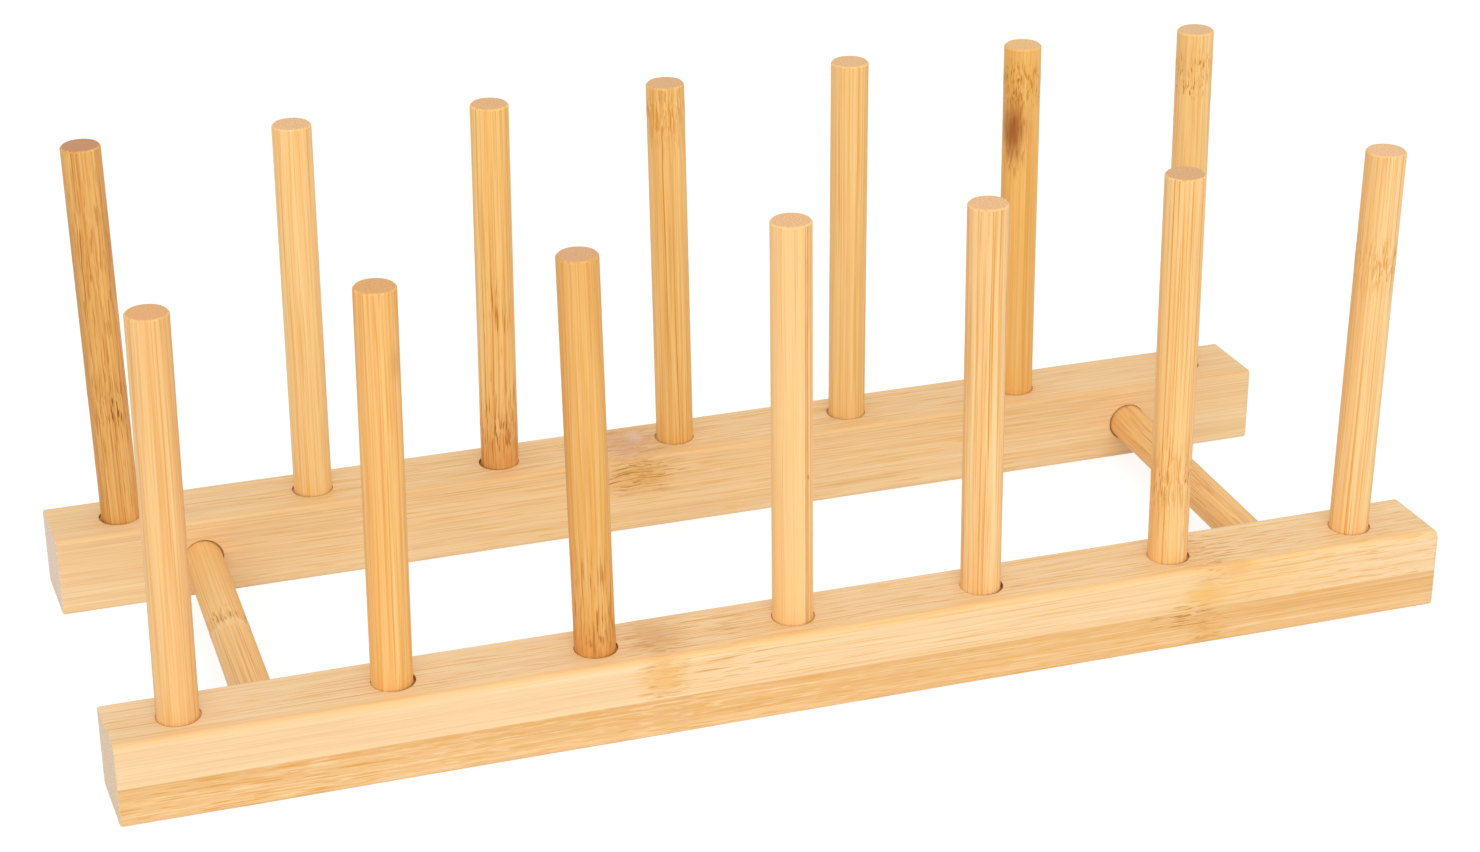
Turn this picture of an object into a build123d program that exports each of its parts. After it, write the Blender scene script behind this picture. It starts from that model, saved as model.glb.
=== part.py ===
from build123d import *
import os

# Bamboo pot lid rack: two laminated rails joined by two cross dowels, with a row of pegs on each rail.
# Millimetres. X runs along the rails, Y from the front rail to the rear rail, Z up.
# The origin is on the counter, under the middle of the rack.

# Rails
RAIL_LENGTH = 336.0
RAIL_WIDTH = 21.0
RAIL_HEIGHT = 21.0
RAIL_CENTRES = 106.5
END_SKEW = 0.9
LONG_EDGE_RADIUS = 1.0
FRONT_TOP_EDGE_RADIUS = 1.8
END_EDGE_RADIUS = 0.6
FRONT_LOWER_LAYER = 10.1
REAR_LOWER_LAYER = 10.25

# Pegs
PEG_DIAMETER = 10.0
PEG_RISE = 101.25
PEG_END_MARGIN = 18.0
PEG_HOLE_FLOOR = 6.0
PEG_HOLE_CLEARANCE = 0.35
PEG_END_CHAMFER = 0.5
PEG_COUNT = 7

# How far single pegs stray: holes drilled off the even pitch, and tall, short or leaning pegs
HOLE_DRIFT = 3.0
RISE_STRAY = 1.9
LEAN_DEGREES = 1.0

# Cross dowels
DOWEL_DIAMETER = 10.0
DOWEL_END_MARGIN = 37.5
DOWEL_HEIGHT = 10.5
DOWEL_HOLE_DEPTH = 12.0
DOWEL_HOLE_CLEARANCE = 0.25
DOWEL_END_CHAMFER = 0.5

# How far a cut runs past the face that it starts from
CUT_OVERRUN = 2.0

# Each peg's own stray, from left to right, as shares of the lengths above
FRONT_DRIFT_SHARES = (-0.37, -0.32, -0.6, -0.72, -1.0, -0.82, -0.57)
REAR_DRIFT_SHARES = (0.06, 0.2, 0.37, 0.06, -0.06, 0.0, 0.41)
FRONT_RISE_SHARES = (-0.55, -0.85, -0.05, 0.9, -0.05, 0.6, 0.35)
REAR_RISE_SHARES = (0.25, 0.0, -0.2, 0.0, 0.15, -0.15, -0.75)
FRONT_LEAN_SHARES = (0.8, 0.8, -0.9, -0.35, -0.55, -0.65, 0.8)
REAR_LEAN_SHARES = (-0.5, 0.55, 0.6, -0.7, -0.05, -0.55, -0.8)

# Which wall of its hole each stick was pushed towards when it was glued, as shares of the clearance
FRONT_SIDE_SHARES = (-0.3, -0.8, -0.6, -0.4, -0.9, -0.8, -0.5)
REAR_SIDE_SHARES = (0.8, 0.5, 0.85, 0.6, 0.6, 0.3, 0.4)
DOWEL_SIDE_SHARES = (-0.7, 0.7)


# Round stick that starts at the hole's floor and runs up its own Z, chamfered at both ends
def stick(diameter, length, chamfer_size):
    body = Cylinder(diameter / 2, length, align=(Align.CENTER, Align.CENTER, Align.MIN))
    return chamfer(body.edges().filter_by(GeomType.CIRCLE), chamfer_size)


# Drill for a blind hole: its floor is at Z = 0 and it runs past the mouth
def drill(diameter, clearance, depth):
    return Cylinder(
        diameter / 2 + clearance, depth + CUT_OVERRUN, align=(Align.CENTER, Align.CENTER, Align.MIN)
    )


# Where the peg holes of one rail have their floors, and which way they point
def peg_places(rail_y, drift_shares, lean_shares):
    places = []
    for index in range(PEG_COUNT):
        x = first_peg_x + index * peg_pitch + drift_shares[index] * HOLE_DRIFT
        mouth = Location((x, rail_y, RAIL_HEIGHT), (0, lean_shares[index] * LEAN_DEGREES, 0))
        places.append(mouth * Location((0, 0, -peg_hole_depth)))
    return places


# Largest for the edge that is highest and furthest forward
def height_less_depth(edge):
    return edge.center().Z - edge.center().Y


# Square bar, cut off a little out of square, so that its back edge lies further left than its front edge.
# Its long edges are rounded, the top one in front by a radius of its own, and its ends are softened.
def rail_bar(rail_y, front_top_radius):
    outline = Polyline(
        (half_skew - half_length, -half_width),
        (half_skew + half_length, -half_width),
        (half_length - half_skew, half_width),
        (-half_length - half_skew, half_width),
        close=True,
    )
    bar = extrude(make_face(outline), RAIL_HEIGHT)
    long_edges = bar.edges().filter_by(Axis.X).sort_by(height_less_depth)
    bar = fillet(long_edges[:-1], LONG_EDGE_RADIUS)
    front_top_edge = bar.edges().filter_by(Axis.X).sort_by(height_less_depth)[-1]
    bar = fillet(front_top_edge, front_top_radius)
    ends = bar.faces().sort_by(Axis.X)
    bar = fillet(ends[0].edges() + ends[-1].edges(), END_EDGE_RADIUS)
    return Pos(0, rail_y, 0) * bar


# One rail, drilled for its pegs and for both cross dowels, then parted at the glue line
def rail_layers(bar, peg_holes, dowel_holes, lower_layer):
    for place in peg_holes:
        bar -= place * drill(PEG_DIAMETER, PEG_HOLE_CLEARANCE, peg_hole_depth)
    for place in dowel_holes:
        bar -= place * drill(DOWEL_DIAMETER, DOWEL_HOLE_CLEARANCE, DOWEL_HOLE_DEPTH)
    glue_line = Plane.XY.offset(lower_layer)
    return split(bar, glue_line, keep=Keep.TOP), split(bar, glue_line, keep=Keep.BOTTOM)


# Pegs of one rail, each pushed to one side of its hole
def pegs(places, rise_shares, side_shares):
    made = []
    for place, rise_share, side_share in zip(places, rise_shares, side_shares):
        sideways = Pos(side_share * PEG_HOLE_CLEARANCE, 0, 0)
        length = peg_hole_depth + PEG_RISE + rise_share * RISE_STRAY
        made.append(place * sideways * stick(PEG_DIAMETER, length, PEG_END_CHAMFER))
    return made


# Half sizes of a rail's outline
half_length = RAIL_LENGTH / 2
half_width = RAIL_WIDTH / 2
half_skew = END_SKEW / 2

# Pegs spread evenly between the rail's end margins, in holes that leave a floor of wood
first_peg_x = PEG_END_MARGIN - half_length
peg_pitch = -2 * first_peg_x / (PEG_COUNT - 1)
peg_hole_depth = RAIL_HEIGHT - PEG_HOLE_FLOOR

# Rail positions, and the blind dowel holes in the faces that look at each other
front_y = -RAIL_CENTRES / 2
rear_y = RAIL_CENTRES / 2
front_floor_y = front_y + half_width - DOWEL_HOLE_DEPTH
rear_floor_y = rear_y - half_width + DOWEL_HOLE_DEPTH
dowel_xs = (DOWEL_END_MARGIN - half_length, half_length - DOWEL_END_MARGIN)
front_dowel_holes = [Location((x, front_floor_y, DOWEL_HEIGHT), (-90, 0, 0)) for x in dowel_xs]
rear_dowel_holes = [Location((x, rear_floor_y, DOWEL_HEIGHT), (90, 0, 0)) for x in dowel_xs]
front_places = peg_places(front_y, FRONT_DRIFT_SHARES, FRONT_LEAN_SHARES)
rear_places = peg_places(rear_y, REAR_DRIFT_SHARES, REAR_LEAN_SHARES)

nodes = {}
nodes["front_rail_upper_layer"], nodes["front_rail_lower_layer"] = rail_layers(
    rail_bar(front_y, FRONT_TOP_EDGE_RADIUS), front_places, front_dowel_holes, FRONT_LOWER_LAYER
)
nodes["rear_rail_upper_layer"], nodes["rear_rail_lower_layer"] = rail_layers(
    rail_bar(rear_y, LONG_EDGE_RADIUS), rear_places, rear_dowel_holes, REAR_LOWER_LAYER
)
for number, peg in enumerate(pegs(front_places, FRONT_RISE_SHARES, FRONT_SIDE_SHARES), start=1):
    nodes[f"front_peg_{number}"] = peg
for number, peg in enumerate(pegs(rear_places, REAR_RISE_SHARES, REAR_SIDE_SHARES), start=1):
    nodes[f"rear_peg_{number}"] = peg

# Cross dowels reach from the floor of the front hole to the floor of the rear hole
dowel_length = rear_floor_y - front_floor_y
for name, place, side_share in zip(
    ("left_cross_dowel", "right_cross_dowel"), front_dowel_holes, DOWEL_SIDE_SHARES
):
    sideways = Pos(side_share * DOWEL_HOLE_CLEARANCE, 0, 0)
    nodes[name] = place * sideways * stick(DOWEL_DIAMETER, dowel_length, DOWEL_END_CHAMFER)

os.makedirs("parts", exist_ok=True)
for name, shape in nodes.items():
    export_step(shape, f"parts/{name}.step")
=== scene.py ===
import math

import bmesh
import bpy
import numpy as np
from mathutils import Matrix, Vector, noise


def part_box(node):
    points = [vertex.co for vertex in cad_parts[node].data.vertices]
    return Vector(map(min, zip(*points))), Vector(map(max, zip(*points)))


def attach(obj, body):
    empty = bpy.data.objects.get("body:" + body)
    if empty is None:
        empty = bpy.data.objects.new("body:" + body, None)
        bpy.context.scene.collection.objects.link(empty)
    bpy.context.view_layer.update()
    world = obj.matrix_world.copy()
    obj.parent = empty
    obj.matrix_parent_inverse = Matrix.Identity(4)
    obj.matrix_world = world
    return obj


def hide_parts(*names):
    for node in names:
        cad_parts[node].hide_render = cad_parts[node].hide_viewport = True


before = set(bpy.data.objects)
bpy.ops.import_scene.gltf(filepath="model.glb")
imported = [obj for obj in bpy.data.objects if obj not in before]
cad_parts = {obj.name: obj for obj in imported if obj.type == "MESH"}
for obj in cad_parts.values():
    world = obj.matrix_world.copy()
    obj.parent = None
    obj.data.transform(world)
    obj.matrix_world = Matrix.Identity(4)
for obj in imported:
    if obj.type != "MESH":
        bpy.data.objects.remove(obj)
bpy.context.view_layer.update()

# Camera
# A long lens a little to the left of the rack's middle and above it, as a catalogue picture is taken.
# It is rolled by a third of a degree, because the rack stands slightly turned in the picture.
SENSOR_WIDTH = 36.0
IMAGE_WIDTH = 1480
FOCAL_PIXELS = 3104.2
CAMERA_AZIMUTH = math.radians(-17.956)
CAMERA_ELEVATION = math.radians(25.155)
CAMERA_ROLL = math.radians(-0.302)
CAMERA_DISTANCE = 0.78854
CAMERA_TARGET = Vector((0.001813, 0.0, 0.04752))

camera = bpy.data.objects.new("camera", bpy.data.cameras.new("camera"))
bpy.context.scene.collection.objects.link(camera)
bpy.context.scene.camera = camera
camera.data.sensor_width = SENSOR_WIDTH
camera.data.lens = FOCAL_PIXELS * SENSOR_WIDTH / IMAGE_WIDTH
view_turn = (
    Matrix.Rotation(CAMERA_AZIMUTH, 4, "Z")
    @ Matrix.Rotation(math.radians(90) - CAMERA_ELEVATION, 4, "X")
    @ Matrix.Rotation(CAMERA_ROLL, 4, "Z")
)
towards_camera = view_turn @ Vector((0, 0, 1))
camera.matrix_world = Matrix.Translation(CAMERA_TARGET + towards_camera * CAMERA_DISTANCE) @ view_turn

# Laminated rails
# Two square bars, each of two bamboo strips glued flat on flat, planed, sanded and softened at the edges.
# Both strips are drilled together: seven blind holes from above for the pegs, and two from the inner
# side for the cross dowels. The holes are a little wide; their walls are painted brown, as painted shade.
MM = 0.001
END_SKEW = 0.9 * MM
LONG_EDGE_RADIUS = 1.0 * MM
END_EDGE_RADIUS = 0.6 * MM
EDGE_WANDER = 0.22 * MM
EDGE_WANDER_LENGTH = 38 * MM
STEP_ALONG = 2.0 * MM
SIDE_STEPS = 18
ARC_STEPS = 5
FACE_STEPS = 42
END_STEPS = 4
END_EDGE_TAPER = 0.6
CRISP_ANGLE = math.radians(32)
RIDGE_WIDTH = 0.9 * MM
RIDGE_LENGTH = 45 * MM
RIDGE_DEPTH = 0.05 * MM
STICK_DIAMETER = 10 * MM
PEG_HOLE = {"depth": 15 * MM, "clearance": 0.35 * MM}
DOWEL_HOLE = {"depth": 12 * MM, "clearance": 0.25 * MM}
HOLE_OVERRUN = 2 * MM
HOLE_SIDES = 96


def linear(colour):
    """An sRGB hex colour as the linear RGBA that a shader socket takes."""
    parts = [int(colour[k:k + 2], 16) / 255 for k in (1, 3, 5)]
    return [c / 12.92 if c <= 0.04045 else ((c + 0.055) / 1.055) ** 2.4 for c in parts] + [1.0]


def add(tree, kind, inputs=(), **settings):
    """Adds one node with its settings. An input takes a value, a socket, or a node's first output."""
    made = tree.nodes.new(kind)
    for key, value in settings.items():
        setattr(made, key, value)
    for key, value in dict(inputs).items():
        if isinstance(value, bpy.types.Node):
            value = next(socket for socket in value.outputs if socket.enabled)
        if isinstance(value, bpy.types.NodeSocket):
            tree.links.new(value, made.inputs[key])
        else:
            made.inputs[key].default_value = value
    return made


def bare_material(name):
    """A new material and its empty node tree."""
    material = bpy.data.materials.new(name)
    material.use_nodes = True
    material.node_tree.nodes.clear()
    return material, material.node_tree


# Bamboo, split from the culm's wall, sanded and thinly oiled: straight fibre bundles run through pale soft
# wood. They show as amber lines along a face and as brown dots on an end, and swirl at the culm's joints.
# Towards the culm's skin, which lies on one side of each piece, the bundles stand closer.
BAMBOO = {
    "pale": "#FACC8B", "deep": "#F2B569", "fibre": "#D2944A", "light": "#FFE9BE", "band_width": 2.2,
    "bands": 0.7, "hair": 0.35, "sheen": 0.25, "lines": 0.8, "gap": 0.75,
    "skin_turn": -72, "skin_reach": 5, "skin_tone": 0.0, "pith_lines": 0.25,
    "knuckles": (), "knuckle": "#E3B67C", "flecks": (), "fleck_width": 0.5, "stains": (),
    "end": "#E8B97C", "end_dots": "#BF8A50", "dots": 0.4, "seed": 0,
}


def bamboo(name, place, end_face, **look):
    """place is where a point is in the wood: X and Y across the fibres and Z along them, all in mm.
    Both it and end_face, which is 1 on end grain, are functions that take the tree. A knuckle is
    (place along, half width, tone, swirl), flecks are (centre, radii, strength, length, colour), and a
    stained patch, scorch or painted highlight along an arris is (centre, radii, strength, colour)."""
    look = BAMBOO | look
    material, tree = bare_material(name)
    MATH, VECTOR, RANGE = "ShaderNodeMath", "ShaderNodeVectorMath", "ShaderNodeMapRange"
    MIX, NOISE, SPLIT = "ShaderNodeMix", "ShaderNodeTexNoise", "ShaderNodeSeparateColor"
    seed_offset = (look["seed"] * 17.31, look["seed"] * 9.73, look["seed"] * 31.17)
    wood = place(tree)
    turned = add(tree, "ShaderNodeVectorRotate", {"Vector": wood, "Angle": math.radians(look["skin_turn"])},
                 rotation_type="Z_AXIS")
    axes = add(tree, "ShaderNodeSeparateXYZ", {0: turned})
    here = add(tree, VECTOR, {0: turned, 1: seed_offset}, operation="ADD")

    def grain_noise(source, across, lengthways, detail=1.0):
        """Noise drawn out along the fibres, with both its sizes in mm."""
        drawn = add(tree, VECTOR, {0: source, 1: (1 / across, 1 / across, 1 / lengthways)},
                    operation="MULTIPLY")
        return add(tree, NOISE, {"Vector": drawn, "Scale": 1.0, "Detail": detail})

    def tint(under, share, colour, **settings):
        """Lays a colour over another by a share."""
        return add(tree, MIX, {0: share, 6: under, 7: linear(colour)}, data_type="RGBA", clamp_factor=True,
                   **settings)

    # Fibres wander by about a millimetre over the length of a peg
    wander = add(tree, VECTOR, {0: grain_noise(here, 9, 80).outputs["Color"], 1: (0.5, 0.5, 0.5)},
                 operation="SUBTRACT")
    path = add(tree, VECTOR, {0: wander, 1: (1.6, 1.6, 0), 2: here}, operation="MULTIPLY_ADD")

    # Joints of the culm: a slightly darker band, in which the fibres swirl
    tone = swirl = 0.0
    ragged = grain_noise(here, 2.4, 7)
    for middle, half_width, knuckle_tone, knuckle_swirl in look["knuckles"]:
        pulled = add(tree, MATH, {0: ragged, 1: half_width, 2: -middle - half_width * 0.5},
                     operation="MULTIPLY_ADD")
        offset = add(tree, MATH, {0: axes.outputs["Z"], 1: pulled}, operation="ADD")
        distance = add(tree, MATH, {0: offset}, operation="ABSOLUTE")
        near = add(tree, RANGE, {0: distance, 1: half_width, 2: 0.0}, interpolation_type="SMOOTHERSTEP")
        around = add(tree, RANGE, {0: distance, 1: half_width * 2.2, 2: 0.0},
                     interpolation_type="SMOOTHERSTEP")
        tone = add(tree, MATH, {0: near, 1: knuckle_tone, 2: tone}, operation="MULTIPLY_ADD")
        swirl = add(tree, MATH, {0: around, 1: knuckle_swirl, 2: swirl}, operation="MULTIPLY_ADD")
    if look["knuckles"]:
        turbulence = add(tree, VECTOR, {0: grain_noise(here, 3.0, 10, 2.0).outputs["Color"],
                                        1: (0.5, 0.5, 0.5)}, operation="SUBTRACT")
        strength = add(tree, VECTOR, {0: turbulence, "Scale": swirl}, operation="SCALE")
        path = add(tree, VECTOR, {0: strength, 1: (3.6, 3.6, 0), 2: path}, operation="MULTIPLY_ADD")

    # Broad bands, hair lines and single fibre bundles, which fade in and out along the piece
    skin = add(tree, RANGE, {0: axes.outputs["X"], 1: look["skin_reach"], 2: -look["skin_reach"]})
    band = add(tree, RANGE, {0: grain_noise(path, look["band_width"], 140, 3.0), 1: 0.32, 2: 0.68,
                             4: look["bands"]})
    band_share = add(tree, MATH, {0: skin, 1: look["skin_tone"], 2: band}, operation="MULTIPLY_ADD")
    fine = add(tree, SPLIT, {0: grain_noise(path, 0.42, 50, 2.0).outputs["Color"]})
    hair = add(tree, RANGE, {0: fine.outputs["Red"], 1: 0.48, 2: 0.64})
    hair_share = add(tree, MATH, {0: hair, 1: look["hair"]}, operation="MULTIPLY")
    sheen_share = add(tree, RANGE, {0: fine.outputs["Green"], 1: 0.5, 2: 0.72, 4: look["sheen"]})
    bundles = add(tree, "ShaderNodeTexVoronoi", {"Vector": path, "Scale": 1 / look["gap"]},
                  voronoi_dimensions="2D")
    chance = add(tree, SPLIT, {0: bundles.outputs["Color"]})
    inside = add(tree, RANGE, {0: bundles.outputs["Distance"], 1: 0.34, 2: 0.12},
                 interpolation_type="SMOOTHSTEP")
    crowd = add(tree, RANGE, {0: skin, 3: look["pith_lines"], 4: 1.0})
    strong = add(tree, RANGE, {0: chance, 1: 0.25, 2: 0.9, 4: crowd})
    fading = add(tree, RANGE, {0: grain_noise(path, 1.3, 45), 1: 0.3, 2: 0.6, 3: 0.35})
    lasting = add(tree, MATH, {0: strong, 1: fading}, operation="MULTIPLY")
    line = add(tree, MATH, {0: inside, 1: lasting}, operation="MULTIPLY")
    line_share = add(tree, MATH, {0: line, 1: look["lines"]}, operation="MULTIPLY")
    colour = tint(linear(look["pale"]), band_share, look["deep"])
    colour = tint(colour, sheen_share, look["light"])
    colour = tint(colour, hair_share, look["fibre"])
    colour = tint(colour, line_share, look["fibre"])

    # Knuckle's darker tone, and the finer lines that its swirl shows
    if look["knuckles"]:
        colour = tint(colour, tone, look["knuckle"], blend_type="MULTIPLY")
        curl = add(tree, RANGE, {0: grain_noise(path, 0.32, 12, 1.0), 1: 0.5, 2: 0.6, 4: swirl})
        curl_share = add(tree, MATH, {0: curl, 1: 0.7}, operation="MULTIPLY")
        colour = tint(colour, curl_share, look["fibre"])

    # Flecks: dashes in one patch of the face, where bundles come up to it or crack open
    for centre, radii, strength, length, fleck_colour in look["flecks"]:
        dash = add(tree, RANGE, {0: grain_noise(path, look["fleck_width"], length), 1: 0.57, 2: 0.66,
                                 4: strength})
        away = add(tree, VECTOR, {0: wood, 1: centre}, operation="SUBTRACT")
        scaled = add(tree, VECTOR, {0: away, 1: radii}, operation="DIVIDE")
        far = add(tree, VECTOR, {0: scaled}, operation="LENGTH")
        patch = add(tree, RANGE, {0: far, 1: 1.0, 2: 0.55})
        fleck_share = add(tree, MATH, {0: dash, 1: patch}, operation="MULTIPLY")
        colour = tint(colour, fleck_share, fleck_colour)

    # Stains and scorches that follow the fibres, and on the rails a painted highlight along the top arris
    for centre, radii, strength, stain in look["stains"]:
        away = add(tree, VECTOR, {0: wood, 1: centre}, operation="SUBTRACT")
        scaled = add(tree, VECTOR, {0: away, 1: radii}, operation="DIVIDE")
        far = add(tree, VECTOR, {0: scaled}, operation="LENGTH")
        torn = add(tree, MATH, {0: grain_noise(here, 0.9, 8, 2.0), 1: 0.9, 2: far.outputs["Value"]},
                   operation="MULTIPLY_ADD")
        share = add(tree, RANGE, {0: torn, 1: 1.6, 2: 0.5, 4: strength}, interpolation_type="SMOOTHSTEP")
        colour = tint(colour, share, stain)

    # End grain: the bundles cut across, drawn twice their size so that they show
    pores = add(tree, "ShaderNodeTexVoronoi", {"Vector": here, "Scale": 1 / 0.55}, voronoi_dimensions="2D")
    dot = add(tree, RANGE, {0: pores.outputs["Distance"], 1: 0.42, 2: 0.2, 4: look["dots"]},
              interpolation_type="SMOOTHSTEP")
    end_colour = tint(linear(look["end"]), dot, look["end_dots"])
    colour = add(tree, MIX, {0: end_face(tree), 6: colour, 7: end_colour}, data_type="RGBA")

    # Sanded face: matt soft wood, with the harder bundles a little proud and smoother
    rough = add(tree, RANGE, {0: line, 3: 0.55, 4: 0.44})
    height = add(tree, MATH, {0: hair, 1: 0.5, 2: line}, operation="MULTIPLY_ADD")
    bump = add(tree, "ShaderNodeBump", {"Height": height, "Strength": 0.4, "Distance": 0.04 * MM})
    surface = add(tree, "ShaderNodeBsdfPrincipled",
                  {"Base Color": colour, "Roughness": rough, "IOR": 1.47, "Specular IOR Level": 0.4,
                   "Normal": bump})
    add(tree, "ShaderNodeOutputMaterial", {"Surface": surface})
    return material


def rail_place(middle):
    """A rail's fibres run along X, so its place in the wood is (Y, Z, X), from the strip's middle line."""
    def place(tree):
        coordinates = add(tree, "ShaderNodeTexCoord")
        centred = add(tree, "ShaderNodeVectorMath", {0: coordinates.outputs["Object"], 1: middle},
                      operation="SUBTRACT")
        metres = add(tree, "ShaderNodeSeparateXYZ", {0: centred})
        order = add(tree, "ShaderNodeCombineXYZ",
                    {0: metres.outputs["Y"], 1: metres.outputs["Z"], 2: metres.outputs["X"]})
        return add(tree, "ShaderNodeVectorMath", {0: order, "Scale": 1 / MM}, operation="SCALE")
    return place


def rail_end(tree):
    """1 where a rail's face looks along X."""
    geometry = add(tree, "ShaderNodeNewGeometry")
    facing = add(tree, "ShaderNodeSeparateXYZ", {0: geometry.outputs["True Normal"]})
    along = add(tree, "ShaderNodeMath", {0: facing}, operation="ABSOLUTE")
    return add(tree, "ShaderNodeMapRange", {0: along, 1: 0.55, 2: 0.8})


# Drilled hole in bamboo: its wall is painted brown, as painted shade in the narrow gap, with faint rings
# round it.
painted_shade_hole_wall, painted_shade_hole_tree = bare_material("drilled_bamboo_wall")
hole_place = add(painted_shade_hole_tree, "ShaderNodeTexCoord")
hole_mm = add(painted_shade_hole_tree, "ShaderNodeVectorMath", {0: hole_place.outputs["Object"], 1: (400, 400, 2500)},
              operation="MULTIPLY")
hole_noise = add(painted_shade_hole_tree, "ShaderNodeTexNoise", {"Vector": hole_mm, "Scale": 1.0, "Detail": 3.0})
hole_colour = add(painted_shade_hole_tree, "ShaderNodeMix",
                  {0: hole_noise, 6: linear("#A8682E"), 7: linear("#D29A58")}, data_type="RGBA")
hole_bump = add(painted_shade_hole_tree, "ShaderNodeBump",
                {"Height": hole_noise, "Strength": 0.5, "Distance": 0.1 * MM})
hole_surface = add(painted_shade_hole_tree, "ShaderNodeBsdfPrincipled",
                   {"Base Color": hole_colour, "Roughness": 0.75, "Normal": hole_bump})
add(painted_shade_hole_tree, "ShaderNodeOutputMaterial", {"Surface": hole_surface})


def stick_line(node):
    """Where a round stick of the CAD model lies: its foot, its direction and its length."""
    points = np.unique(np.round([v.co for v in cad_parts[node].data.vertices], 7), axis=0)
    middle = points.mean(axis=0)
    axis = np.linalg.svd(points - middle)[2][0]
    axis = axis * np.sign(axis[np.argmax(np.abs(axis))])
    reach = (points - middle) @ axis
    return Vector(middle + axis * reach.min()), Vector(axis), float(reach.max() - reach.min())


def stick_frame(foot, axis, across=Vector((1, 0, 0))):
    """Matrix that stands a stick, made along Z, on its foot, with its X as near as it goes to across."""
    x_axis = (across - axis * across.dot(axis)).normalized()
    turn = Matrix((x_axis, axis.cross(x_axis), axis)).transposed()
    return Matrix.Translation(foot) @ turn.to_4x4()


def strip_side(width, height, radius):
    """A strip's left side, from its glue face up and round its outer edge: (across, up)."""
    turns = np.linspace(0, math.pi / 2, ARC_STEPS + 1)
    side = [(-width / 2, up) for up in np.linspace(0, height - radius, SIDE_STEPS, endpoint=False)]
    corner = [(-width / 2 + radius * (1 - math.cos(t)), height - radius * (1 - math.sin(t))) for t in turns]
    return side + corner


def strip_section(width, height, front_radius, back_radius):
    """A strip's cross-section, from the glue face's front edge over the outer face: (across, up)."""
    front = strip_side(width, height, front_radius)
    back = [(-across, up) for across, up in reversed(strip_side(width, height, back_radius))]
    face = [(across, height) for across in np.linspace(front[-1][0], back[0][0], FACE_STEPS + 1)[1:-1]]
    glue = [(across, 0.0) for across in np.linspace(width / 2, -width / 2, FACE_STEPS + 1)[1:-1]]
    return front + face + back + glue


def plain_mesh(name, shape):
    """Turns a bmesh into a mesh, and frees it."""
    data = bpy.data.meshes.new(name)
    shape.to_mesh(data)
    shape.free()
    return data


def strip_mesh(name, low, high, glue_z, seed, front_radius):
    """One strip of a rail, between two corners. Its outer long edges are rounded by hand, so the radius
    wanders, its faces are as uneven as sanding leaves them, and its ends are cut a little out of square."""
    upward = 1 if abs(low[2] - glue_z) < abs(high[2] - glue_z) else -1
    width = high[1] - low[1]
    height = high[2] - low[2]
    middle_y = (low[1] + high[1]) / 2
    turns = np.linspace(0, math.pi / 2, END_STEPS + 1)
    ends = [(END_EDGE_RADIUS * (1 - math.cos(t)), END_EDGE_RADIUS * (1 - math.sin(t))) for t in turns]
    left, right = low[0] + END_SKEW / 2, high[0] - END_SKEW / 2
    count = round((right - left) / STEP_ALONG)
    inner = np.linspace(left + END_EDGE_RADIUS, right - END_EDGE_RADIUS, count + 1)[1:-1]
    stations = [(left + along, inset) for along, inset in ends]
    stations += [(x, 0.0) for x in inner]
    stations += [(right - along, inset) for along, inset in reversed(ends)]
    mesh = bmesh.new()
    rings = []
    for x, inset in stations:
        drift = noise.noise(Vector((x / EDGE_WANDER_LENGTH, seed, 0.5)))
        change = EDGE_WANDER * drift - inset * END_EDGE_TAPER
        section = strip_section(width - 2 * inset, height - inset, front_radius + change,
                                LONG_EDGE_RADIUS + change)
        ring = []
        for across, up in section:
            place = Vector((x - END_SKEW * across / width, middle_y + across, glue_z + upward * up))
            ridge = noise.noise(Vector((x / RIDGE_LENGTH, place.y / RIDGE_WIDTH, place.z / RIDGE_WIDTH)))
            sunk = RIDGE_DEPTH * (0.5 + 0.5 * ridge) if up > 0 else 0.0
            if up > height - inset - 1e-9:
                place.z -= upward * sunk
            else:
                place.y -= math.copysign(sunk, across)
            ring.append(mesh.verts.new(place))
        rings.append(ring)
    for here, after in zip(rings, rings[1:]):
        for k in range(len(here)):
            mesh.faces.new((here[k], here[k - 1], after[k - 1], after[k]))
    mesh.faces.new(rings[0])
    mesh.faces.new(rings[-1])
    bmesh.ops.recalc_face_normals(mesh, faces=mesh.faces)
    return plain_mesh(name, mesh)


def link(name, data):
    """A new object of the scene, which stays at the origin."""
    made = bpy.data.objects.new(name, data)
    bpy.context.scene.collection.objects.link(made)
    return made


def finished(made):
    """Turns what the modifiers make of an object into its plain mesh, with crisp arrises."""
    graph = bpy.context.evaluated_depsgraph_get()
    mesh = bpy.data.meshes.new_from_object(made.evaluated_get(graph), preserve_all_data_layers=True,
                                           depsgraph=graph)
    made.modifiers.clear()
    made.data = mesh
    mesh.shade_smooth()
    mesh.set_sharp_from_angle(angle=CRISP_ANGLE)
    return made


def piece(made, node):
    """The object rides on the rack and stands for one CAD node."""
    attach(made, "root")
    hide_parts(node)


def seat(node, rear=False):
    """The end of a stick that stands on its hole's floor, and the direction out of the hole."""
    foot, axis, length = stick_line(node)
    return (foot + axis * length, -axis) if rear else (foot, axis)


def drill(tool, node, hole, side_share, rear=False):
    """Adds one hole's drill to a mesh. The stick in the hole was pushed to one side of it, by a share of
    the clearance."""
    foot, axis = seat(node, rear)
    floor = foot - stick_frame(foot, axis).col[0].xyz * side_share * hole["clearance"]
    bore = hole["depth"] + HOLE_OVERRUN
    radius = STICK_DIAMETER / 2 + hole["clearance"]
    bmesh.ops.create_cone(
        tool, cap_ends=True, segments=HOLE_SIDES, radius1=radius, radius2=radius, depth=bore,
        matrix=stick_frame(floor, axis) @ Matrix.Translation((0, 0, bore / 2)),
    )


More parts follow.
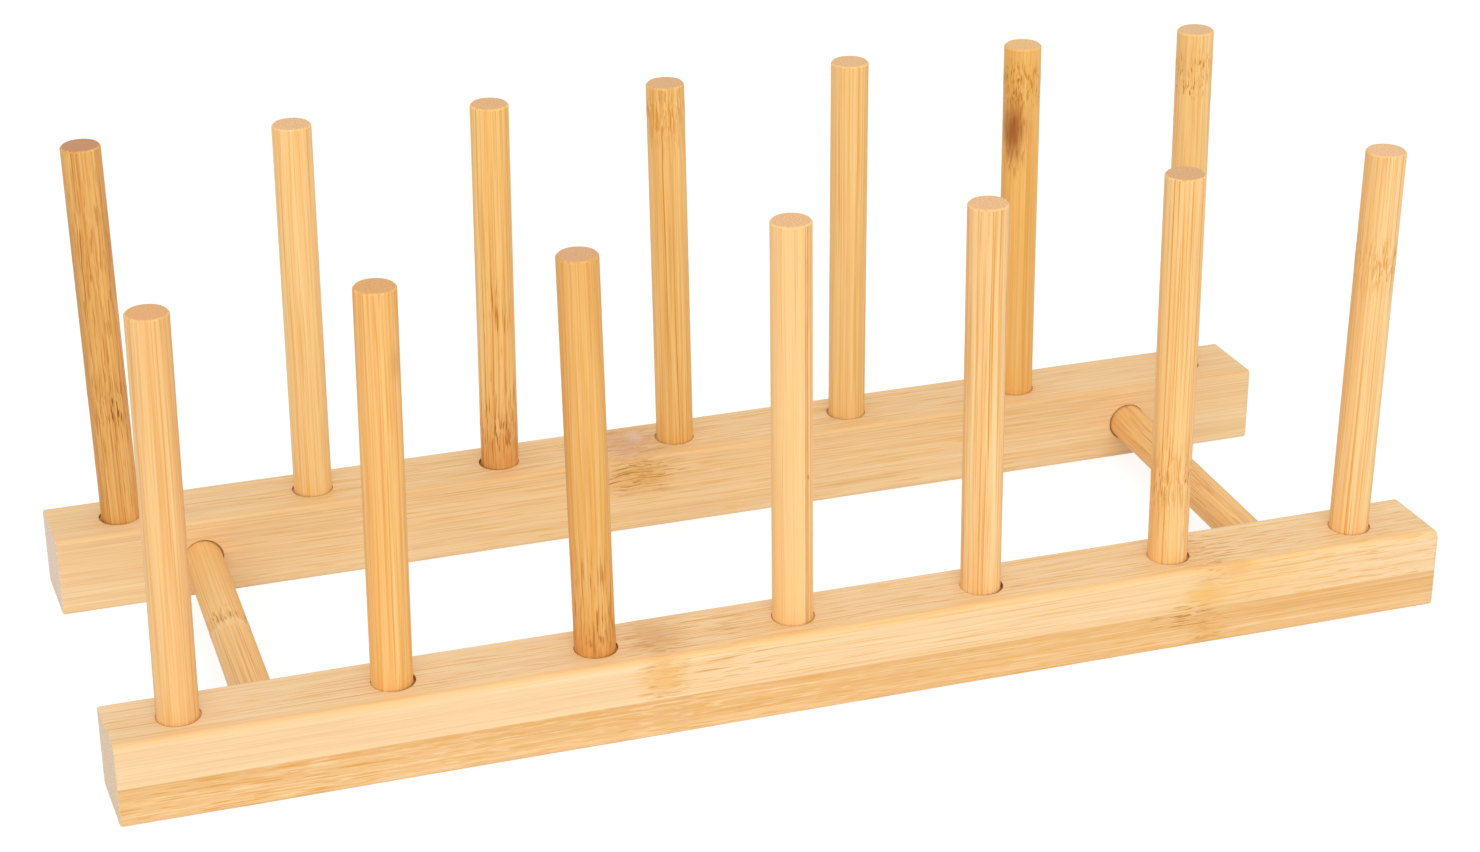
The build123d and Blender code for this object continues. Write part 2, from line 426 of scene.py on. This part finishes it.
RAILS = {
    "front": {"pushed": (-0.3, -0.8, -0.6, -0.4, -0.9, -0.8, -0.5),
              "upper_front_radius": 1.8 * MM, "lower_front_radius": LONG_EDGE_RADIUS,
              "upper": {"seed": 3, "pale": "#FADAAB", "deep": "#F0C58F", "fibre": "#D7A163", "bands": 0.55,
                        "lines": 0.25, "hair": 0.16, "skin_reach": 7, "skin_turn": 90,
                        "knuckles": ((-38, 4, 0.08, 0.5), (104, 4, 0.08, 0.5)),
                        "end": "#EED5B4",
                        "flecks": (((0, 0, 60), (60, 60, 125), 0.5, 34, "#E3A40A"),
                                   ((0, 5.5, -140), (12, 3, 70), 0.45, 30, "#D08E30"),
                                   ((0, 5.5, 0), (11, 2, 210), 0.5, 11, "#E09E0B"),
                                   ((0, 0, 150), (40, 40, 55), 0.5, 7, "#E3A50A"),
                                   ((0, 5.5, -30), (13, 4, 24), 0.75, 9, "#D18D08"),
                                   ((-4, 5.5, -38), (8, 4, 6), 0.7, 4, "#C88807"),
                                   ((-10.5, 1.5, -24), (4, 5.5, 24), 0.7, 11, "#D59306"),
                                   ((-10.5, 0, -38), (4, 8, 8), 0.7, 5, "#D29107"),
                                   ((-9, 4.8, 105), (4, 3.5, 7), 0.8, 4, "#C28106"),
                                   ((-10.5, -4.6, 99), (4, 3, 9), 0.85, 8, "#B77B06"),
                                   ((0, 5.5, 106), (12, 4, 12), 0.75, 7, "#CA8D08")),
                        # Their first entry is a painted highlight: a golden line along the rounded top front
                        # arris, the whole rail long.
                        "stains": (((-9.3, 5.5, 0), (2.6, 1.6, 400), 0.6, "#FFCD81"),
                                   ((-10.5, 0.5, -38), (3, 6, 7), 0.7, "#F2BE6C"),
                                   ((1, 5.5, -37), (12, 3, 9), 0.6, "#D8A26C"),
                                   ((-9.6, 4.0, 112), (3, 2.6, 7), 0.7, "#F2AE5A"),
                                   ((-10.5, -1.5, 104), (3, 4, 8), 0.7, "#F4BE62"),
                                   ((-10.5, 0, 114), (4, 8, 30), 0.4, "#F2C270"))},
              "lower": {"seed": 8, "pale": "#F6CD94", "deep": "#E5AF6A", "fibre": "#CE9954", "bands": 0.5,
                        "lines": 0.3, "hair": 0.25, "sheen": 0.45, "skin_tone": 0.5, "skin_turn": 90,
                        "knuckles": ((-34, 3, 0.05, 0.2), (103, 3, 0.08, 0.5)),
                        "end": "#EED5B4",
                        "flecks": (((0, 0, 0), (60, 60, 190), 0.45, 9, "#E2A309"),
                                   ((-10.5, -1, -70), (6, 9, 130), 0.42, 6, "#FFE2B2"),
                                   ((-10.5, 0, -140), (6, 9, 50), 0.5, 9, "#D69408"),
                                   ((-10.5, 3.2, 97), (4, 3.6, 12), 1.0, 8, "#B37505"),
                                   ((-10.5, 0, 105), (4, 6, 7), 0.6, 5, "#C68807")),
                        "stains": (((-10.5, 0, 105), (3, 5, 5), 0.5, "#EDB468"),)}},
    "rear": {"pushed": (0.8, 0.5, 0.85, 0.6, 0.6, 0.3, 0.4),
             "upper_front_radius": LONG_EDGE_RADIUS, "lower_front_radius": LONG_EDGE_RADIUS,
             "upper": {"seed": 12, "pale": "#F9D6A1", "deep": "#F0C58D", "fibre": "#D39F5F", "bands": 0.6,
                       "lines": 0.35, "hair": 0.25, "skin_turn": 90,
                       "knuckles": ((-12, 7, 0.05, 0.9),),
                       "end": "#F3DBC6",
                       "flecks": (((0, 0, 0), (60, 60, 190), 0.35, 15, "#E4A40A"),
                                  ((0, 5.5, 0), (11, 2, 210), 0.6, 18, "#DA9A0A"),
                                  ((-10.5, 1, -13), (4, 6, 15), 1.0, 14, "#A86C00"),
                                  ((0, 5.5, -14), (13, 4, 14), 0.8, 7, "#C28509")),
                       # Their first entry is a painted highlight: a golden line along the top arris of the
                       # inner face, the whole rail long.
                       "stains": (((-9.6, 5.2, 0), (2.2, 1.5, 400), 0.5, "#F3C07A"),
                                  ((-10.5, 0, -13), (3, 6, 12), 0.5, "#E2A848"),
                                  ((0, 5.5, -14), (14, 2.4, 11), 0.6, "#D8A27E"),
                                  ((3, 5.5, -10), (4, 2, 3.5), 0.5, "#E8D6C6"))},
             "lower": {"seed": 17, "pale": "#FADCAB", "deep": "#EEC388", "fibre": "#D8A769", "bands": 0.6,
                       "lines": 0.35, "hair": 0.25, "skin_turn": 90, "end": "#F3DBC6",
                       "flecks": (((0, 0, 0), (60, 60, 190), 0.35, 15, "#E4A40A"),)}},
}
PLANED = {"fleck_width": 0.4, "end_dots": "#C6A07C", "dots": 0.6, "gap": 0.9}
DOWELS_PUSHED = {"left_cross_dowel": -0.7, "right_cross_dowel": 0.7}
for rail, made_of in RAILS.items():
    bores = bmesh.new()
    for number, side_share in enumerate(made_of["pushed"], start=1):
        drill(bores, f"{rail}_peg_{number}", PEG_HOLE, side_share)
    for dowel, side_share in DOWELS_PUSHED.items():
        drill(bores, dowel, DOWEL_HOLE, side_share, rail == "rear")
    tool = link(f"{rail}_drills", plain_mesh(f"{rail}_drills", bores))
    tool.data.materials.append(painted_shade_hole_wall)
    glue_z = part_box(f"{rail}_rail_lower_layer")[1].z
    for layer in ("lower", "upper"):
        node = f"{rail}_rail_{layer}_layer"
        low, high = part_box(node)
        strip_data = strip_mesh(node, low, high, glue_z, made_of[layer]["seed"],
                                made_of[f"{layer}_front_radius"])
        strip = link(f"{rail}_{layer}_strip", strip_data)
        middle = (0, (low.y + high.y) / 2, (low.z + high.z) / 2)
        strip.data.materials.append(bamboo(f"sanded_bamboo_{rail}_{layer}", rail_place(middle), rail_end,
                                           **PLANED | made_of[layer]))
        cut = strip.modifiers.new("drilled", "BOOLEAN")
        cut.object = tool
        cut.operation = "DIFFERENCE"
        cut.solver = "EXACT"
        cut.material_mode = "TRANSFER"
        bpy.context.view_layer.update()
        piece(finished(strip), node)
    bpy.data.objects.remove(tool)

# Round sticks: seven pegs in each rail and two cross dowels
# Each is turned from one split of bamboo, cut to length and chamfered at both ends. It is glued into a
# blind hole that leaves it about a third of a millimetre all round, and was pushed towards one wall of it.
END_CHAMFER = 0.5 * MM
STICK_SIDES = 96
CAP_RINGS = 6
CHAMFER_RINGS = 2
ROW_LENGTH = 2.2 * MM
KNUCKLE_SWELL = 0.05 * MM
SWELL_WIDTH = 3.5 * MM

stick_tree = bpy.data.node_groups.new("turned_bamboo_stick", "GeometryNodeTree")
stick_sizes = {}
for size, kind, start_value in (
    ("Length", "NodeSocketFloat", 0.1165), ("Diameter", "NodeSocketFloat", STICK_DIAMETER),
    ("Chamfer", "NodeSocketFloat", END_CHAMFER), ("Sides", "NodeSocketInt", STICK_SIDES),
    ("Rows", "NodeSocketInt", 50), ("Ridge Depth", "NodeSocketFloat", RIDGE_DEPTH),
    ("Ridge Width", "NodeSocketFloat", RIDGE_WIDTH), ("Ridge Length", "NodeSocketFloat", RIDGE_LENGTH),
    ("Knuckle From Top", "NodeSocketFloat", 0.05), ("Knuckle Swell", "NodeSocketFloat", 0.0),
    ("Seed", "NodeSocketFloat", 0.0), ("Finish", "NodeSocketMaterial", None),
):
    socket = stick_tree.interface.new_socket(size, in_out="INPUT", socket_type=kind)
    if start_value is not None:
        socket.default_value = start_value
    stick_sizes[size] = socket.identifier
stick_tree.interface.new_socket("Stick", in_out="OUTPUT", socket_type="NodeSocketGeometry")
given = add(stick_tree, "NodeGroupInput").outputs

# A grid is rolled up: its rows become the rings of both ends, both chamfers and the side
end_rows = CAP_RINGS + CHAMFER_RINGS
sides_plus = add(stick_tree, "ShaderNodeMath", {0: given["Sides"], 1: 1}, operation="ADD")
side_rows = add(stick_tree, "ShaderNodeMath", {0: given["Rows"], 1: 2 * end_rows + 1}, operation="ADD")
grid = add(stick_tree, "GeometryNodeMeshGrid", {"Size X": 1.0, "Size Y": 1.0, "Vertices X": sides_plus,
                                                "Vertices Y": side_rows})
flat = add(stick_tree, "ShaderNodeSeparateXYZ", {0: add(stick_tree, "GeometryNodeInputPosition")})
angle = add(stick_tree, "ShaderNodeMath", {0: flat.outputs["X"], 1: 2 * math.pi}, operation="MULTIPLY")
last_row = add(stick_tree, "ShaderNodeMath", {0: side_rows, 1: 1}, operation="SUBTRACT")
middle_row = add(stick_tree, "ShaderNodeMath", {0: last_row, 1: 0.5}, operation="MULTIPLY")
row = add(stick_tree, "ShaderNodeMath", {0: flat.outputs["Y"], 1: last_row, 2: middle_row},
          operation="MULTIPLY_ADD")
rows_left = add(stick_tree, "ShaderNodeMath", {0: last_row, 1: row}, operation="SUBTRACT")
nearest_end = add(stick_tree, "ShaderNodeMath", {0: row, 1: rows_left}, operation="MINIMUM")
radius_full = add(stick_tree, "ShaderNodeMath", {0: given["Diameter"], 1: 0.5}, operation="MULTIPLY")
radius_cap = add(stick_tree, "ShaderNodeMath", {0: radius_full, 1: given["Chamfer"]}, operation="SUBTRACT")
on_cap = add(stick_tree, "ShaderNodeMapRange", {0: nearest_end, 1: 0, 2: CAP_RINGS, 4: radius_cap})
on_chamfer = add(stick_tree, "ShaderNodeMapRange",
                 {0: nearest_end, 1: CAP_RINGS, 2: end_rows, 4: given["Chamfer"]})
radius = add(stick_tree, "ShaderNodeMath", {0: on_cap, 1: on_chamfer}, operation="ADD")
low_end = add(stick_tree, "ShaderNodeMapRange", {0: row, 1: CAP_RINGS, 2: end_rows, 4: given["Chamfer"]})
high_end = add(stick_tree, "ShaderNodeMapRange",
               {0: rows_left, 1: end_rows, 2: CAP_RINGS, 4: given["Chamfer"]})
both_chamfers = add(stick_tree, "ShaderNodeMath", {0: given["Chamfer"], 1: -2, 2: given["Length"]},
                    operation="MULTIPLY_ADD")
side_end = add(stick_tree, "ShaderNodeMath", {0: last_row, 1: end_rows}, operation="SUBTRACT")
on_side = add(stick_tree, "ShaderNodeMapRange", {0: row, 1: end_rows, 2: side_end, 4: both_chamfers})
lower_part = add(stick_tree, "ShaderNodeMath", {0: low_end, 1: high_end}, operation="ADD")
height = add(stick_tree, "ShaderNodeMath", {0: lower_part, 1: on_side}, operation="ADD")
cosine = add(stick_tree, "ShaderNodeMath", {0: angle}, operation="COSINE")
sine = add(stick_tree, "ShaderNodeMath", {0: angle}, operation="SINE")
ring_x = add(stick_tree, "ShaderNodeMath", {0: cosine, 1: radius}, operation="MULTIPLY")
ring_y = add(stick_tree, "ShaderNodeMath", {0: sine, 1: radius}, operation="MULTIPLY")
rolled = add(stick_tree, "ShaderNodeCombineXYZ", {0: ring_x, 1: ring_y, 2: height})
cap_share = add(stick_tree, "ShaderNodeMapRange", {0: nearest_end, 1: end_rows, 2: CAP_RINGS})
with_caps = add(stick_tree, "GeometryNodeStoreNamedAttribute",
                {"Geometry": grid.outputs["Mesh"], "Name": "cap", "Value": cap_share}, domain="POINT",
                data_type="FLOAT")
round_stick = add(stick_tree, "GeometryNodeSetPosition", {"Geometry": with_caps, "Position": rolled})

# The place in the wood, in millimetres: across the fibres, and along them from the upper end
where = add(stick_tree, "ShaderNodeSeparateXYZ", {0: add(stick_tree, "GeometryNodeInputPosition")})
from_top = add(stick_tree, "ShaderNodeMath", {0: given["Length"], 1: where.outputs["Z"]},
               operation="SUBTRACT")
in_wood = add(stick_tree, "ShaderNodeCombineXYZ",
              {0: where.outputs["X"], 1: where.outputs["Y"], 2: from_top})
in_mm = add(stick_tree, "ShaderNodeVectorMath", {0: in_wood, "Scale": 1 / MM}, operation="SCALE")
with_grain = add(stick_tree, "GeometryNodeStoreNamedAttribute",
                 {"Geometry": round_stick, "Name": "grain", "Value": in_mm}, domain="POINT",
                 data_type="FLOAT_VECTOR")

# Sanding sinks the soft wood between the bundles, and a joint of the culm swells a little
ridge_scale = add(stick_tree, "ShaderNodeCombineXYZ",
                  {0: given["Ridge Width"], 1: given["Ridge Width"], 2: given["Ridge Length"]})
ridge_place = add(stick_tree, "ShaderNodeVectorMath", {0: in_wood, 1: ridge_scale}, operation="DIVIDE")
ridges = add(stick_tree, "ShaderNodeTexNoise", {"Vector": ridge_place, "W": given["Seed"], "Scale": 1.0,
                                                "Detail": 1.0}, noise_dimensions="4D")
sunk = add(stick_tree, "ShaderNodeMath", {0: ridges, 1: given["Ridge Depth"]}, operation="MULTIPLY")
from_knuckle = add(stick_tree, "ShaderNodeMath", {0: from_top, 1: given["Knuckle From Top"]},
                   operation="SUBTRACT")
knuckle_distance = add(stick_tree, "ShaderNodeMath", {0: from_knuckle}, operation="ABSOLUTE")
swell = add(stick_tree, "ShaderNodeMapRange",
            {0: knuckle_distance, 1: SWELL_WIDTH, 2: 0.0, 4: given["Knuckle Swell"]},
            interpolation_type="SMOOTHERSTEP")
proud = add(stick_tree, "ShaderNodeMath", {0: swell, 1: sunk}, operation="SUBTRACT")
cap_again = add(stick_tree, "GeometryNodeInputNamedAttribute", {"Name": "cap"}, data_type="FLOAT")
side_share = add(stick_tree, "ShaderNodeMath", {0: 1.0, 1: cap_again}, operation="SUBTRACT")
moved = add(stick_tree, "ShaderNodeMath", {0: proud, 1: side_share}, operation="MULTIPLY")
outward = add(stick_tree, "ShaderNodeVectorMath", {0: in_wood, 1: (1, 1, 0)}, operation="MULTIPLY")
unit = add(stick_tree, "ShaderNodeVectorMath", {0: outward}, operation="NORMALIZE")
push = add(stick_tree, "ShaderNodeVectorMath", {0: unit, "Scale": moved}, operation="SCALE")
ridged = add(stick_tree, "GeometryNodeSetPosition", {"Geometry": with_grain, "Offset": push})
closed = add(stick_tree, "GeometryNodeMergeByDistance", {"Geometry": ridged, "Distance": 0.001 * MM})
real = add(stick_tree, "GeometryNodeRealizeInstances", {"Geometry": closed})
with_finish = add(stick_tree, "GeometryNodeSetMaterial", {"Geometry": real, "Material": given["Finish"]})
add(stick_tree, "NodeGroupOutput", {0: with_finish})


def stick_place(tree):
    """A stick carries its place in the wood with it, so that the fibres follow a leaning peg."""
    return add(tree, "ShaderNodeAttribute", attribute_name="grain").outputs["Vector"]


def stick_end(tree):
    """1 on a stick's end faces, and hardly anything on their chamfers."""
    cap = add(tree, "ShaderNodeAttribute", attribute_name="cap").outputs["Fac"]
    return add(tree, "ShaderNodeMapRange", {0: cap, 1: 0.6, 2: 1.0})


def stick(name, node, slot, **look):
    """Makes one stick where the CAD model has it."""
    foot, axis, length = stick_line(node)
    finish = bamboo(f"turned_bamboo_{name}", stick_place, stick_end, **look)
    made = link(name, bpy.data.meshes.new(name))
    made.data.materials.append(finish)
    modifier = made.modifiers.new("turned", "NODES")
    modifier.node_group = stick_tree
    knuckles = look.get("knuckles", ())
    for size, value in {
        "Length": length,
        "Rows": round(length / ROW_LENGTH),
        "Knuckle From Top": knuckles[0][0] * MM if knuckles else 0.0,
        "Knuckle Swell": KNUCKLE_SWELL if knuckles else 0.0,
        "Seed": float(look.get("seed", 0)),
        "Finish": finish,
    }.items():
        modifier[stick_sizes[size]] = value
    bpy.context.view_layer.update()
    made = finished(made)
    made.data.transform(stick_frame(foot, axis))
    shape = bmesh.new()
    shape.from_mesh(made.data)
    bmesh.ops.recalc_face_normals(shape, faces=shape.faces)
    shape.to_mesh(made.data)
    shape.free()
    piece(made, node)


# Cross dowels
# They hold the rails apart. The left one has a joint of the culm, with golden wood behind it and paler wood
# in front of it.
stick("left_dowel", "left_cross_dowel", "dowel_bamboo", seed=21, pale="#FFD28E", deep="#F3B86D",
      fibre="#C98942", knuckles=((54, 2.5, 0.1, 0.4),),
      flecks=(((0, 0, 53), (12, 12, 6), 0.7, 4, "#A96B05"),),
      stains=(((0, 0, 24), (30, 30, 30), 0.62, "#F2BA6B"),
              ((0, 0, 57), (30, 30, 2.6), 0.4, "#FFDCA4")))
stick("right_dowel", "right_cross_dowel", "dowel_bamboo", seed=25, pale="#FECF89", deep="#F0B569",
      fibre="#CB8B3E", lines=0.8, flecks=(((0, 0, 55), (40, 40, 62), 0.3, 12, "#C07E08"),))

# Pegs
# Seven stand upright in each rail, in blind holes, and the lids lean against them. No two are alike, since
# each is cut from another part of the culm.
FRONT_PEGS = (
    {"pale": "#F9CA87", "deep": "#EFAC62", "fibre": "#DA9127", "lines": 0.75, "end": "#E7AD6F",
     "dots": 0.25},
    {"pale": "#FAC777", "deep": "#EFA853", "fibre": "#D28100", "lines": 1.0, "end": "#E4A967",
     "stains": (((3.3, -3.7, 18), (2.6, 2.6, 6), 0.5, "#DE9A4C"),)},
    {"pale": "#F0B866", "deep": "#E4A34C", "fibre": "#CB7D00", "lines": 0.55, "end": "#E1AA77",
     "knuckles": ((98, 5, 0.05, 0.35),), "stains": (((0, 0, 104), (16, 16, 15), 0.65, "#DB9042"),),
     "flecks": (((0, 0, 90), (12, 12, 22), 0.85, 11, "#B96904"),
                ((1, -4.9, 96), (6, 6, 7), 0.8, 5, "#9C5203"))},
    {"pale": "#FFD08D", "deep": "#FBC57B", "fibre": "#D28000", "lines": 0.6, "bands": 0.4, "hair": 0.06,
     "skin_turn": -137, "skin_reach": 3.2, "pith_lines": 0.0, "end": "#F2BE88",
     "stains": (((2.58, -4.29, 64), (0.35, 0.35, 1.1), 0.95, "#6E4218"),
                ((1.9, -4.62, 50), (0.3, 0.3, 400), 0.7, "#CE8A3C"),
                ((2.5, -4.33, 50), (0.22, 0.22, 400), 0.8, "#BE7A30"),
                ((3.5, -3.57, 50), (0.3, 0.3, 400), 0.6, "#CE8A3C"))},
    {"pale": "#FFD99A", "deep": "#F6B46C", "fibre": "#D98C00", "lines": 1.0, "hair": 0.45, "skin_turn": -102,
     "end": "#F2BF88"},
    {"pale": "#FFD592", "deep": "#F6B665", "fibre": "#D88A00", "lines": 0.9, "end": "#DFAC78",
     "knuckles": ((79, 7, 0.03, 0.6),),
     "flecks": (((3.0, -4.0, 79), (2.6, 2.6, 5), 0.8, 3, "#B06504"),
                ((-4.4, -2.3, 82), (2.6, 2.6, 6), 0.6, 3, "#B96F05"),
                ((0, 0, 86), (12, 12, 20), 0.35, 9, "#CF8205"))},
    {"pale": "#FFD798", "deep": "#F6BC72", "fibre": "#DB9100", "lines": 0.9, "end": "#F4C48F",
     "knuckles": ((28, 6, 0.03, 0.6),), "flecks": (((1, -4.9, 29), (7, 7, 8), 0.6, 4, "#CC8606"),)},
)
REAR_PEGS = (
    {"pale": "#F1BD6B", "deep": "#DC9B45", "fibre": "#B96700", "bands": 0.8, "lines": 1.0, "end": "#C3885B",
     "knuckles": ((66, 7, 0.05, 0.45), (27, 10, 0.1, 0.35)),
     "flecks": (((0, 0, 50), (40, 40, 60), 0.55, 8, "#B96B04"),
                ((1.5, -4.8, 68.5), (5, 5, 7), 0.9, 5, "#864702")),
     "stains": (((-5.5, -1, 50), (3.4, 3.4, 70), 0.45, "#B9773A"),)},
    {"pale": "#FFDC99", "deep": "#FDC178", "fibre": "#E3A017", "lines": 0.8, "end": "#EEBD87"},
    {"pale": "#FFD88B", "deep": "#F3B55D", "fibre": "#D17E00", "lines": 0.9, "end": "#E8B37A",
     "knuckles": ((89, 6, 0.03, 0.45),), "stains": (((0, 0, 104), (16, 16, 24), 0.65, "#DA8D40"),),
     "flecks": (((-1, -4.8, 56), (5, 5, 14), 0.85, 9, "#C77805"),
                ((0, 0, 90), (12, 12, 22), 0.8, 10, "#B46504"),
                ((0.5, -4.9, 91), (6, 6, 7), 0.85, 5, "#914C03"))},
    {"pale": "#FBCE80", "deep": "#EAAE59", "fibre": "#CE8200", "lines": 0.9, "end": "#E0B17D",
     "knuckles": ((7, 8, 0.0, 0.65),), "flecks": (((0, 0, 8), (12, 12, 10), 0.5, 6, "#CF8205"),)},
    {"pale": "#FDD48E", "deep": "#F0B869", "fibre": "#D89400", "lines": 0.6, "band_width": 2.8,
     "end": "#EABC84"},
    {"pale": "#F7C26A", "deep": "#EAAB4F", "fibre": "#CC850B", "lines": 0.3, "hair": 0.2, "end": "#F0BE7F",
     "knuckles": ((10, 5, 0.03, 0.55),),
     "flecks": (((-1.5, -4.8, 10), (9, 9, 8), 0.8, 3, "#CA8205"),
                ((-4.0, -3.0, 9), (5, 5, 7), 0.8, 2.4, "#B07000"),
                ((-3.6, -3.4, 23), (5.2, 5.2, 15), 0.7, 4, "#984E02")),
     "stains": (((-3.6, -3.4, 22), (5.2, 5.2, 14), 0.72, "#C07A30"),
                ((-3.7, -3.3, 23), (3.8, 3.8, 9.2), 0.74, "#934408"))},
    {"pale": "#FDD28A", "deep": "#F1BA6E", "fibre": "#D38D00", "lines": 0.4, "end": "#E9BD88",
     "knuckles": ((9.5, 4, 0.03, 0.45),),
     "flecks": (((-2.5, -4.2, 9.5), (7, 7, 6), 0.85, 3, "#BF7C05"),
                ((-3, -4, 15.5), (5.5, 5.5, 3.4), 0.85, 2.4, "#BF7C05"))},
)
for row_name, first_seed, pegs in (("front", 31, FRONT_PEGS), ("rear", 51, REAR_PEGS)):
    for number, look in enumerate(pegs, start=1):
        stick(f"{row_name}_stick_{number}", f"{row_name}_peg_{number}", "peg_bamboo",
              **{"seed": first_seed + number} | look)

# Dried glue in the holes
# Wood glue was pressed out round each peg and dowel as it was pushed in. It dried amber in the gap, close
# under the rail's face round some, and deeper down where less was used, so that an open gap shows there.
GLUE_DEPTHS = {"front": (0.2, 1.2, 1.0, 0.25, 1.6, 1.0, 0.3), "rear": (0.7, 0.6, 1.2, 0.3, 0.4, 0.4, 0.5)}
GLUE_DEPTH_ROUND_DOWELS = 0.8
GLUE_THICKNESS = 0.3 * MM
GLUE_OVERLAP = 0.08 * MM

glue, glue_tree = bare_material("dried_wood_glue")
glue_place = add(glue_tree, "ShaderNodeTexCoord")
glue_mm = add(glue_tree, "ShaderNodeVectorMath", {0: glue_place.outputs["Object"], "Scale": 1 / MM},
              operation="SCALE")
glue_noise = add(glue_tree, "ShaderNodeTexNoise", {"Vector": glue_mm, "Scale": 0.9, "Detail": 2.0})
glue_colour = add(glue_tree, "ShaderNodeMix", {0: glue_noise, 6: linear("#C08040"), 7: linear("#E8B470")},
                  data_type="RGBA")
glue_bump = add(glue_tree, "ShaderNodeBump", {"Height": glue_noise, "Strength": 0.4, "Distance": 0.1 * MM})
glue_surface = add(glue_tree, "ShaderNodeBsdfPrincipled",
                   {"Base Color": glue_colour, "Roughness": 0.45, "IOR": 1.47, "Normal": glue_bump})
add(glue_tree, "ShaderNodeOutputMaterial", {"Surface": glue_surface})


def glue_ring(mesh, node, hole, side_share, depth, rear=False):
    """Adds the glue round one stick, from the stick's side to the wall of its hole."""
    standing = stick_frame(*seat(node, rear))
    inner_radius = STICK_DIAMETER / 2 - GLUE_OVERLAP
    outer_radius = STICK_DIAMETER / 2 + hole["clearance"] + GLUE_OVERLAP
    hole_middle = -side_share * hole["clearance"]
    top = hole["depth"] - depth
    under = top - GLUE_THICKNESS
    turns = np.linspace(0, 2 * math.pi, HOLE_SIDES, endpoint=False)
    rims = []
    for radius, middle, along in ((inner_radius, 0.0, top), (outer_radius, hole_middle, top),
                                  (outer_radius, hole_middle, under), (inner_radius, 0.0, under)):
        places = [Vector((middle + radius * math.cos(t), radius * math.sin(t), along)) for t in turns]
        rims.append([mesh.verts.new(standing @ place) for place in places])
    for here, after in zip(rims, rims[1:] + rims[:1]):
        for k in range(HOLE_SIDES):
            mesh.faces.new((here[k - 1], after[k - 1], after[k], here[k]))


for rail, made_of in RAILS.items():
    rings = bmesh.new()
    for number, (side_share, depth) in enumerate(zip(made_of["pushed"], GLUE_DEPTHS[rail]), start=1):
        glue_ring(rings, f"{rail}_peg_{number}", PEG_HOLE, side_share, depth * MM)
    for dowel, side_share in DOWELS_PUSHED.items():
        glue_ring(rings, dowel, DOWEL_HOLE, side_share, GLUE_DEPTH_ROUND_DOWELS * MM, rail == "rear")
    bmesh.ops.recalc_face_normals(rings, faces=rings.faces)
    dried = link(f"{rail}_glue_rings", plain_mesh(f"{rail}_glue_rings", rings))
    dried.data.materials.append(glue)
    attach(dried, "root")

# Counter and light
# The rack stands on a white counter that runs out of the picture, in soft light from all round,
# with a broad soft lamp in front and another above.
COUNTER_HALF = 3.0
COUNTER_WHITE = 1.15
COUNTER_WHITE_SHARE = 0.72
ROOM_LIGHT = 0.6
ROOM_WHITE = 1.0
counter_mesh = bmesh.new()
bmesh.ops.create_grid(counter_mesh, x_segments=8, y_segments=8, size=COUNTER_HALF)
counter = link("counter", plain_mesh("counter", counter_mesh))
counter_finish, counter_tree = bare_material("white_counter")
painted = add(counter_tree, "ShaderNodeBsdfDiffuse", {"Color": linear("#F4F4F4")})
plain_white = add(counter_tree, "ShaderNodeEmission", {"Color": (1, 1, 1, 1), "Strength": COUNTER_WHITE})
counter_seen = add(counter_tree, "ShaderNodeLightPath")
glossy_or_camera = add(counter_tree, "ShaderNodeMath", {0: counter_seen.outputs["Is Camera Ray"],
                                                        1: counter_seen.outputs["Is Glossy Ray"]},
                       operation="MAXIMUM")
seen_directly = add(counter_tree, "ShaderNodeMath", {0: glossy_or_camera,
                                                     1: counter_seen.outputs["Is Transmission Ray"]},
                    operation="MAXIMUM")
white_share = add(counter_tree, "ShaderNodeMath", {0: seen_directly, 1: COUNTER_WHITE_SHARE},
                  operation="MULTIPLY")
counter_shade = add(counter_tree, "ShaderNodeMixShader", {0: white_share, 1: painted, 2: plain_white})
add(counter_tree, "ShaderNodeOutputMaterial", {"Surface": counter_shade})
counter.data.materials.append(counter_finish)

world = bpy.data.worlds.new("white_room")
bpy.context.scene.world = world
world.use_nodes = True
world_tree = world.node_tree
world_tree.nodes.clear()
room_seen = add(world_tree, "ShaderNodeLightPath")
room_glossy = add(world_tree, "ShaderNodeMath", {0: room_seen.outputs["Is Camera Ray"],
                                                 1: room_seen.outputs["Is Glossy Ray"]}, operation="MAXIMUM")
room_direct = add(world_tree, "ShaderNodeMath",
                  {0: room_glossy, 1: room_seen.outputs["Is Transmission Ray"]}, operation="MAXIMUM")
room_strength = add(world_tree, "ShaderNodeMapRange", {0: room_direct, 3: ROOM_LIGHT, 4: ROOM_WHITE})
room = add(world_tree, "ShaderNodeBackground", {"Color": (1, 1, 1, 1), "Strength": room_strength})
add(world_tree, "ShaderNodeOutputWorld", {"Surface": room})


def lamp(name, place, aim, size, power):
    """A square soft lamp that looks at a point."""
    light = bpy.data.lights.new(name, "AREA")
    light.size = size
    light.energy = power
    made = bpy.data.objects.new(name, light)
    bpy.context.scene.collection.objects.link(made)
    looking = (Vector(place) - Vector(aim)).to_track_quat("Z", "Y").to_matrix().to_4x4()
    made.matrix_world = Matrix.Translation(place) @ looking


lamp("front_softbox", (-0.6, -2.8, 1.6), (0, 0, 0.05), 2.6, 45)
lamp("overhead_softbox", (0.1, 0.1, 1.6), (0, 0, 0), 1.4, 5.4)

bpy.context.scene.view_settings.view_transform = "Standard"
